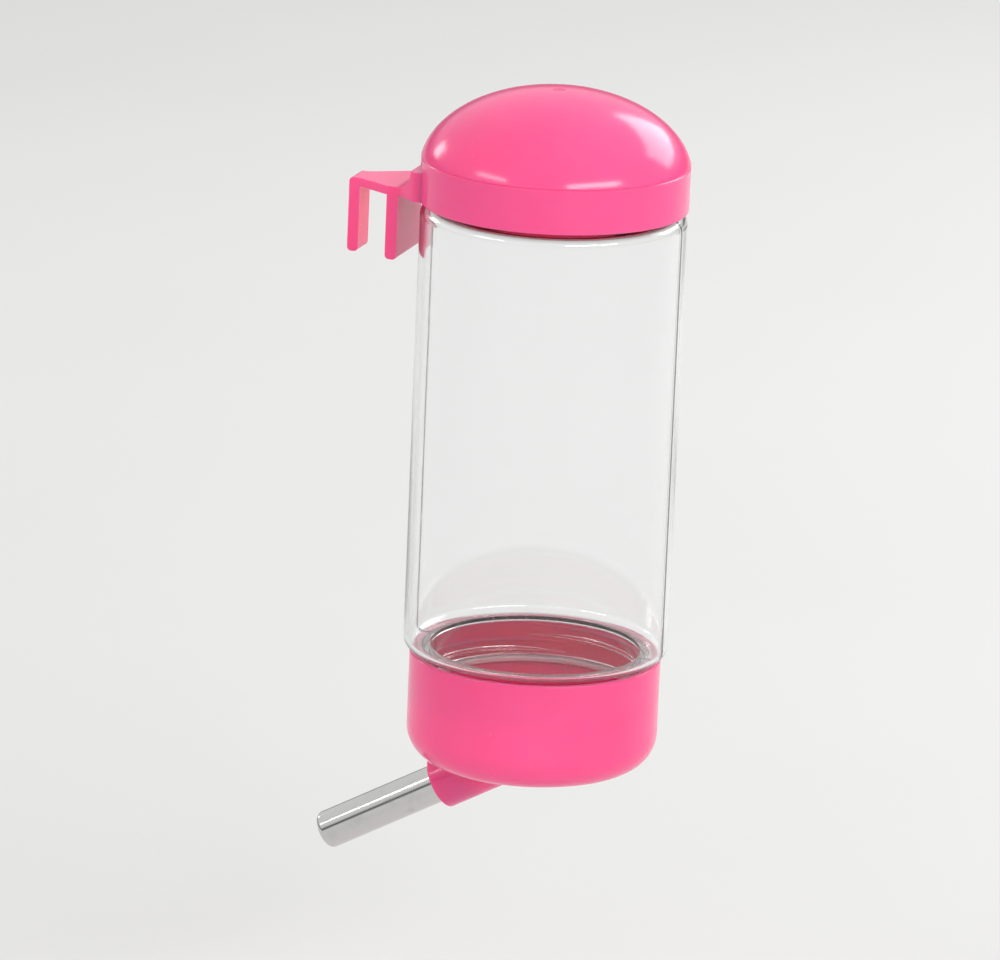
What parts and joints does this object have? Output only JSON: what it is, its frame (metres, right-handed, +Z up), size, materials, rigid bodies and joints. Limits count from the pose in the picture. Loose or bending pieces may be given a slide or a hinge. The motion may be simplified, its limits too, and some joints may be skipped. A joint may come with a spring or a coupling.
{
  "type": "rabbit water bottle",
  "caption": "Hanging small-animal water bottle: domed screw lid with a two-legged wire hook, clear tube, screw cup with a slanted boss and a steel ball-point drinking spout.",
  "frame": {"origin": "on the flat seat of the hook, where the strap rests on a cage wire", "axes": "+Z up; +Y towards the cage, the way the hook and the spout point; the bottle's own axis is vertical, 52 mm behind the seat along -Y"},
  "size_m": [0.0754, 0.1004, 0.2285],
  "materials": {
    "pink_plastic": "glossy moulded plastic",
    "clear_plastic": "clear, glossy",
    "silicone": "satin, slightly translucent",
    "steel": "polished stainless steel",
    "stop_plastic": "natural moulded plastic"
  },
  "bodies": {
    "lid": {"hook_lid": "pink_plastic"},
    "upper_seal": {"lid_seal": "silicone"},
    "bottle": {"bottle_body": "clear_plastic"},
    "lower_seal": {"cup_seal": "silicone"},
    "spout": {"spout_cup": "pink_plastic", "spout_bush": "silicone", "spout_tube": "steel", "spring_stop": "stop_plastic", "ball_spring": "steel"},
    "ball": {"nozzle_ball": "steel"}
  },
  "joints": [
    {"name": "bottle_drop", "type": "slide", "parent": "lid", "child": "upper_seal", "axis": [0, 0, -1], "range_m": [0, 0.0079]},
    {"name": "bottle_turn", "type": "hinge", "parent": "upper_seal", "child": "bottle", "pos_m": [0, -0.052, 0], "axis": [0, 0, -1], "range_deg": [0, 630]},
    {"name": "cup_drop", "type": "slide", "parent": "bottle", "child": "lower_seal", "axis": [0, 0, -1], "range_m": [0, 0.0079]},
    {"name": "cup_turn", "type": "hinge", "parent": "lower_seal", "child": "spout", "pos_m": [0, -0.052, -0.13], "axis": [0, 0, -1], "range_deg": [0, 630]},
    {"name": "ball_push", "type": "slide", "parent": "spout", "child": "ball", "axis": [0, -0.8704, 0.4924], "range_m": [0, 0.003], "stiffness_N_per_m": 100, "springref_m": -0.002, "deforming": ["ball_spring"]}
  ],
  "couplings": [
    {"joint": "bottle_drop", "follows": "bottle_turn", "m_per_rad": 0.0007162},
    {"joint": "cup_drop", "follows": "cup_turn", "m_per_rad": 0.0007162}
  ]
}
